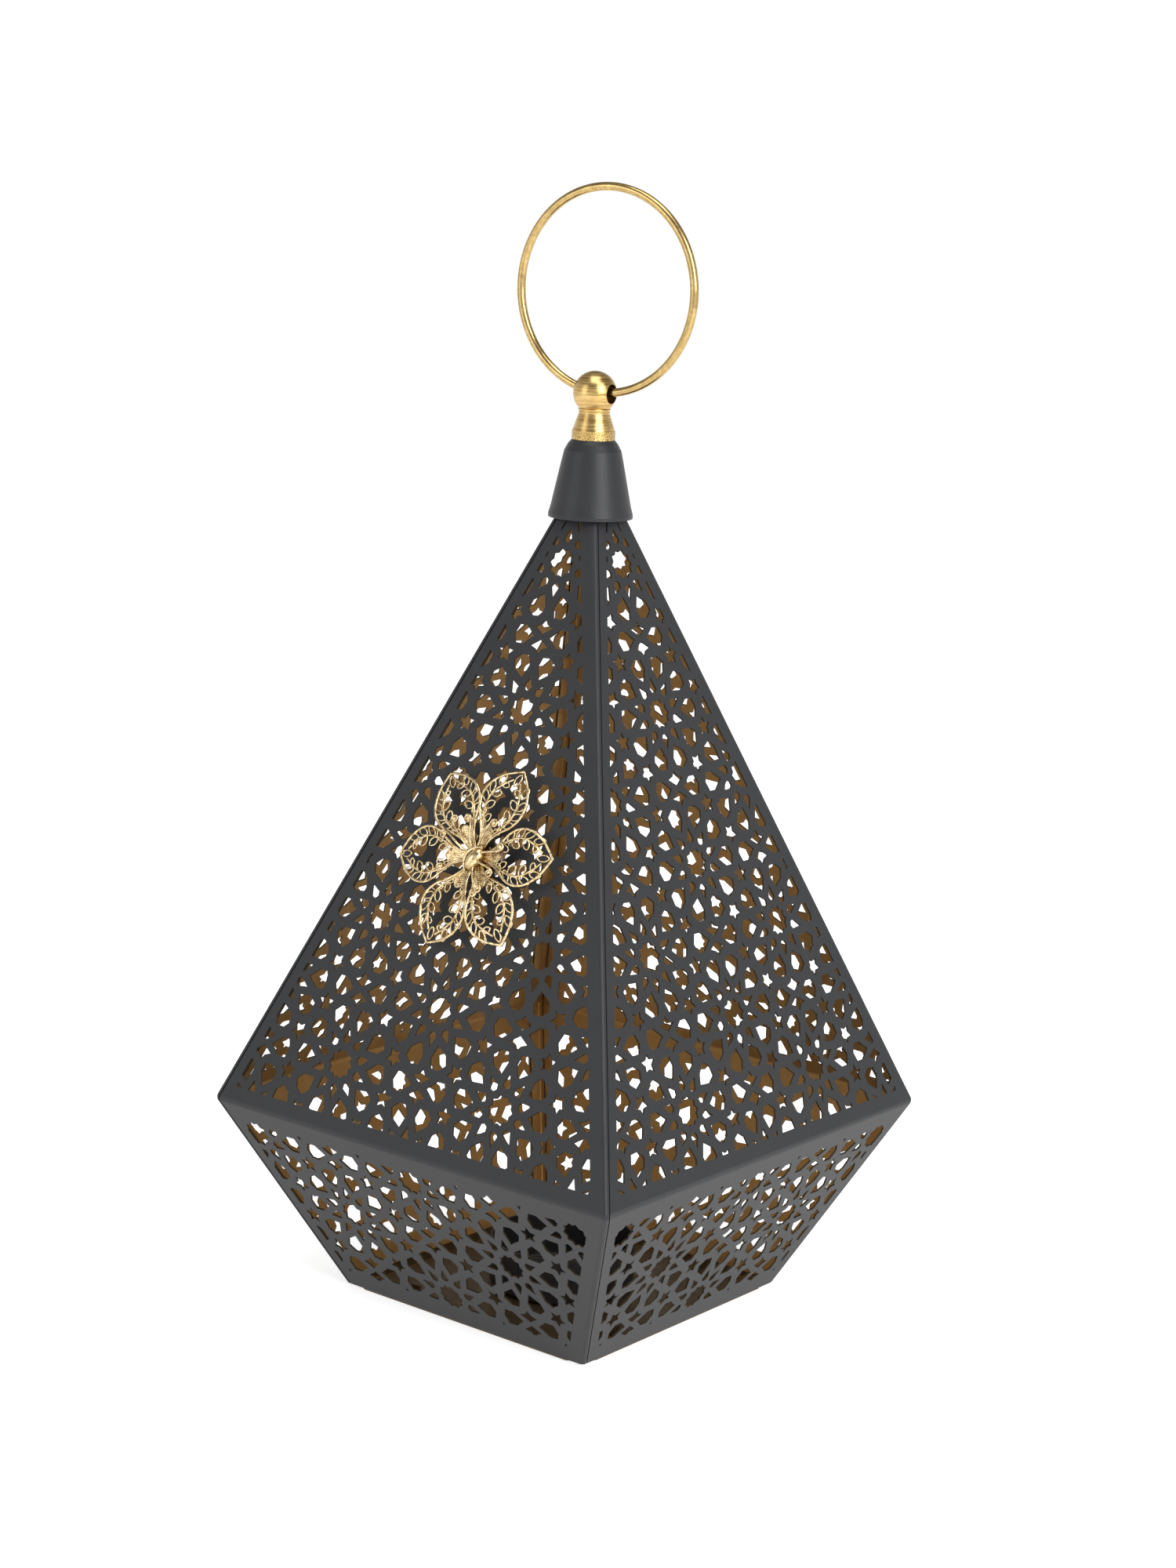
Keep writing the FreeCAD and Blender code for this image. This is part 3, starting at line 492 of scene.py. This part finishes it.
def encloses(loop, point):
    """Whether a flat closed loop goes round a point."""
    crossings = 0
    for a, b in zip(loop, loop[1:] + loop[:1]):
        if (a.y > point.y) != (b.y > point.y):
            crossings += point.x < a.x + (b.x - a.x) * (point.y - a.y) / (b.y - a.y)
    return crossings % 2 == 1


def dome(spot, radius, sides=6):
    """A small six-sided dome."""
    verts = []
    for share, height in ((1.0, 0.0), (0.75, 0.65)):
        for k in range(sides):
            turn = math.tau * k / sides
            verts.append(spot + Vector((share * math.cos(turn), share * math.sin(turn), height)) * radius)
    verts.append(spot + Vector((0, 0, radius)))
    faces = [(k, (k + 1) % sides, sides + (k + 1) % sides, sides + k) for k in range(sides)]
    faces += [(sides + k, sides + (k + 1) % sides, 2 * sides) for k in range(sides)]
    return verts, faces


ROW_STEP = 0.87


def stipple(outline, spacing, radius, lift):
    """Staggered rows of small domes over a plate, clear of its edge."""
    reach = max(p.x for p in outline)
    rows = int(reach / spacing)
    domes = []
    for row in range(-rows, rows):
        for column in range(2 * rows):
            spot = Vector(((column + 0.5 * (row % 2)) * spacing, row * spacing * ROW_STEP, 0.0))
            if encloses(outline, spot) and all((spot - p).length > 1.5 * radius for p in outline):
                domes.append(dome(spot + Vector((0, 0, lift)), radius))
    return joined(domes)


# a petal in millimetres: the radii of its wires, how far two of them are raised, and the tongue's plate
RIM_WIRE, STEM_WIRE, LEAF_WIRE, TONGUE_WIRE = 0.48, 0.42, 0.29, 0.26
RIM_LIFT, TONGUE_LIFT = 0.15, 0.2
PLATE_HALF_THICK, PLATE_EDGE = 0.16, 0.10
rim = EDGE + mirrored(EDGE)[-2::-1]
petal_parts = [
    curve_mesh([(TONGUE, True)], plate=True, fill_mode="BOTH", extrude=PLATE_HALF_THICK,
               bevel_depth=PLATE_EDGE, bevel_resolution=1, offset=-PLATE_EDGE),
    curve_mesh([(raised(rim, RIM_LIFT), False)], bevel_depth=RIM_WIRE, bevel_resolution=2),
    curve_mesh([(STEM, False), (mirrored(STEM), False)], bevel_depth=STEM_WIRE, bevel_resolution=1),
    curve_mesh([(path, True) for path in leaves], bevel_depth=LEAF_WIRE, bevel_resolution=1),
    curve_mesh([(raised(TONGUE, TONGUE_LIFT), True)], bevel_depth=TONGUE_WIRE, bevel_resolution=1),
    stipple(TONGUE, spacing=0.78, radius=0.30, lift=0.22),
]
flower_piece("flower_petals_look", on_every_petal(joined(petal_parts)), "flower_petals")

# wire stamens, each ending in a curl with a bead in it: direction in degrees, reach, and which way it curls
STAMENS = [(64, 13.0, 1), (24, 11.6, -1), (-26, 9.8, 1), (-58, 11.6, -1), (116, 12.6, -1), (136, 15.0, 1),
           (160, 14.6, -1), (206, 13.0, 1), (292, 12.4, 1)]
CURL, CURL_TIGHTENS, CURL_TURNS, CURL_STEPS = 1.25, 0.55, 1.2, 20
STAMEN_WIRE, BEAD = 0.40, 0.66
STAMEN_FOOT, STAMEN_LIFT = 1.6, 6.5


def stamen(degrees, reach, hand):
    """One wire from the flower's heart, straight out and then coiled."""
    turn = math.radians(degrees)
    out = Vector((math.cos(turn), math.sin(turn), 0))
    side = Vector((-math.sin(turn), math.cos(turn), 0)) * hand
    curl_middle = out * reach
    path = [out * STAMEN_FOOT + Vector((0, 0, STAMEN_LIFT - 1.2)),
            out * reach * 0.45 + side * 0.3 + Vector((0, 0, STAMEN_LIFT + 0.5)),
            out * reach * 0.75 + side * CURL * 0.8 + Vector((0, 0, STAMEN_LIFT + 0.4))]
    for step in range(CURL_STEPS + 1):
        angle = math.tau * CURL_TURNS * step / CURL_STEPS
        radius = CURL - CURL_TIGHTENS * step / CURL_STEPS
        path.append(curl_middle + side * radius * math.cos(angle) + out * radius * math.sin(angle)
                    + Vector((0, 0, STAMEN_LIFT)))
    return smooth(path, 2), curl_middle


def ball(middle, radii, rings, sides, turn=0.0):
    """An ellipsoid of the given half sizes, turned in the flower's plane, with one point at each pole."""
    verts, faces = [], []
    spin = Matrix.Rotation(turn, 3, "Z")
    for ring in range(1, rings):
        rise = math.pi * ring / rings - math.pi / 2
        for k in range(sides):
            around = math.tau * k / sides
            verts.append(spin @ Vector((radii[0] * math.cos(rise) * math.cos(around),
                                        radii[1] * math.cos(rise) * math.sin(around),
                                        radii[2] * math.sin(rise))) + middle)
    highest = (rings - 2) * sides
    bottom, top = len(verts), len(verts) + 1
    verts += [middle - Vector((0, 0, radii[2])), middle + Vector((0, 0, radii[2]))]
    for k in range(sides):
        beside = (k + 1) % sides
        faces += [(bottom, beside, k), (top, highest + k, highest + beside)]
        faces += [(ring + k, ring + beside, ring + sides + beside, ring + sides + k)
                  for ring in range(0, highest, sides)]
    return verts, faces


def placed(part):
    """A part given in the flower's own millimetres, carried to the panel."""
    verts, faces = part
    return [on_flower(*v) for v in verts], faces


stamens = [stamen(*values) for values in STAMENS]
beads = [ball(middle + Vector((0, 0, STAMEN_LIFT + 0.1)), (BEAD, BEAD, BEAD), 6, 10) for _, middle in stamens]
stamen_wires = curve_mesh([(path, False) for path, _ in stamens], bevel_depth=STAMEN_WIRE, bevel_resolution=2,
                          use_fill_caps=True)
flower_piece("flower_stamens_look", placed(joined([stamen_wires] + beads)), "flower_stamens")

# the heart: a long bead with a wire band along its side, and a pearl and a bud at its end, over a small disc
HEART_AT, HEART_TURN = Vector((0.9, -0.9, 5.4)), math.radians(58)
HEART_WAY = Vector((math.cos(HEART_TURN), math.sin(HEART_TURN), 0))
HEART_SIDE = Vector((-HEART_WAY.y, HEART_WAY.x, 0))
HEART_SIZE, PEARL_SIZE = (4.3, 2.4, 2.6), (1.25, 1.1, 1.1)
BUD_SIZE, FOOT_SIZE = (1.2, 0.8, 0.9), (2.6, 2.6, 1.3)
BUD_TURN, FOOT_DROP, BAND_WIRE = 0.6, 1.4, 0.5
BAND = [(-5.2, 0.4, -0.3), (-3.0, 2.2, 0.9), (0.0, 2.9, 1.5), (3.0, 1.9, 1.4), (4.9, 0.2, 0.4)]


def on_heart(along, across, lift):
    """A point given along the heart, across it and above its middle."""
    return HEART_AT + HEART_WAY * along + HEART_SIDE * across + Vector((0, 0, lift))


heart = ball(HEART_AT, HEART_SIZE, 12, 14, HEART_TURN)
pearl = ball(on_heart(2.6, 2.3, 0.7), PEARL_SIZE, 8, 12, HEART_TURN)
bud = ball(on_heart(4.2, 0.9, 0.0), BUD_SIZE, 8, 12, HEART_TURN + BUD_TURN)
foot = ball(Vector((0, 0, HEART_AT.z - FOOT_DROP)), FOOT_SIZE, 8, 20)
band = curve_mesh([(smooth([on_heart(*spot) for spot in BAND]), False)], bevel_depth=BAND_WIRE,
                  bevel_resolution=2, use_fill_caps=True)
flower_piece("flower_heart", placed(joined([heart, pearl, bud, foot, band])), "flower_rivet")

# ---------------------------------------------------------------- studio
FLOOR_HALF = 6.0
PAPER_GLOW = 0.62
corners = [(x * FLOOR_HALF, y * FLOOR_HALF, 0) for x, y in ((-1, -1), (1, -1), (1, 1), (-1, 1))]
floor_mesh = bpy.data.meshes.new("floor")
floor_mesh.from_pydata(corners, [], [(0, 1, 2, 3)])
floor = bpy.data.objects.new("floor", floor_mesh)
bpy.context.collection.objects.link(floor)
paper = Surface("white_paper", Roughness=0.9, Emission_Color=rgb(1.0, 1.0, 1.0), Emission_Strength=PAPER_GLOW)
paper_white = paper.blend(paper.noise(0.4, 2.0), rgb(0.84, 0.84, 0.84), rgb(0.88, 0.88, 0.88))
paint(floor, paper.finish(Base_Color=paper_white))

# white walls all round that fade towards the ceiling
HORIZON, ZENITH = 1.02, 0.35
FADE_FROM, FADE_TO = 0.15, 0.55
world = bpy.data.worlds.new("studio")
bpy.context.scene.world = world
world.use_nodes = True
nodes = world.node_tree.nodes
direction, split, fade = (nodes.new("ShaderNode" + kind) for kind in ("TexCoord", "SeparateXYZ", "MapRange"))
for key, number in (("From Min", FADE_FROM), ("From Max", FADE_TO), ("To Min", HORIZON), ("To Max", ZENITH)):
    fade.inputs[key].default_value = number
world.node_tree.links.new(direction.outputs["Generated"], split.inputs[0])
world.node_tree.links.new(split.outputs["Z"], fade.inputs["Value"])
world.node_tree.links.new(fade.outputs[0], nodes["Background"].inputs["Strength"])
nodes["Background"].inputs["Color"].default_value = rgb(1.0, 1.0, 1.0)

# the point that the camera and the lights are aimed at
TARGET = Vector((3.34, 0.0, 177.4)) * MM


def softbox(name, azimuth, elevation, distance, width, height, power):
    """A soft area light aimed at the lantern; its angles are degrees round from the front, and up."""
    light = bpy.data.lights.new(name, "AREA")
    light.shape = "RECTANGLE"
    light.size, light.size_y, light.energy = width, height, power
    thing = bpy.data.objects.new(name, light)
    bpy.context.collection.objects.link(thing)
    turn, rise = math.radians(azimuth), math.radians(elevation)
    away = Vector((math.sin(turn) * math.cos(rise), -math.cos(turn) * math.cos(rise), math.sin(rise)))
    thing.location = TARGET + away * distance
    thing.rotation_euler = away.to_track_quat("Z", "Y").to_euler()


softbox("key", azimuth=75, elevation=28, distance=1.6, width=0.9, height=1.2, power=22)
softbox("fill", azimuth=-20, elevation=20, distance=1.8, width=0.8, height=1.2, power=5)
softbox("top", azimuth=40, elevation=80, distance=1.6, width=1.0, height=1.0, power=10)

# ---------------------------------------------------------------- camera
# its angles round and above the lantern, its roll, distance and lens give the photo's perspective
AZIMUTH, ELEVATION, ROLL = math.radians(38.73), math.radians(11.77), math.radians(2.20)
DISTANCE = 1.0316
LENS, SENSOR = 70.95, 36.0
camera_data = bpy.data.cameras.new("camera")
camera_data.sensor_fit = "VERTICAL"
camera_data.sensor_height = SENSOR
camera_data.lens = LENS
camera = bpy.data.objects.new("camera", camera_data)
bpy.context.collection.objects.link(camera)
back = Vector((math.sin(AZIMUTH) * math.cos(ELEVATION), -math.cos(AZIMUTH) * math.cos(ELEVATION),
               math.sin(ELEVATION)))
right = Vector((math.cos(AZIMUTH), math.sin(AZIMUTH), 0.0))
above = back.cross(right)
tilted_right = right * math.cos(ROLL) + above * math.sin(ROLL)
tilted_above = above * math.cos(ROLL) - right * math.sin(ROLL)
camera.matrix_world = Matrix.Translation(TARGET + back * DISTANCE) @ Matrix(
    (tilted_right, tilted_above, back)).transposed().to_4x4()
bpy.context.scene.camera = camera
bpy.context.scene.view_settings.view_transform = "Standard"
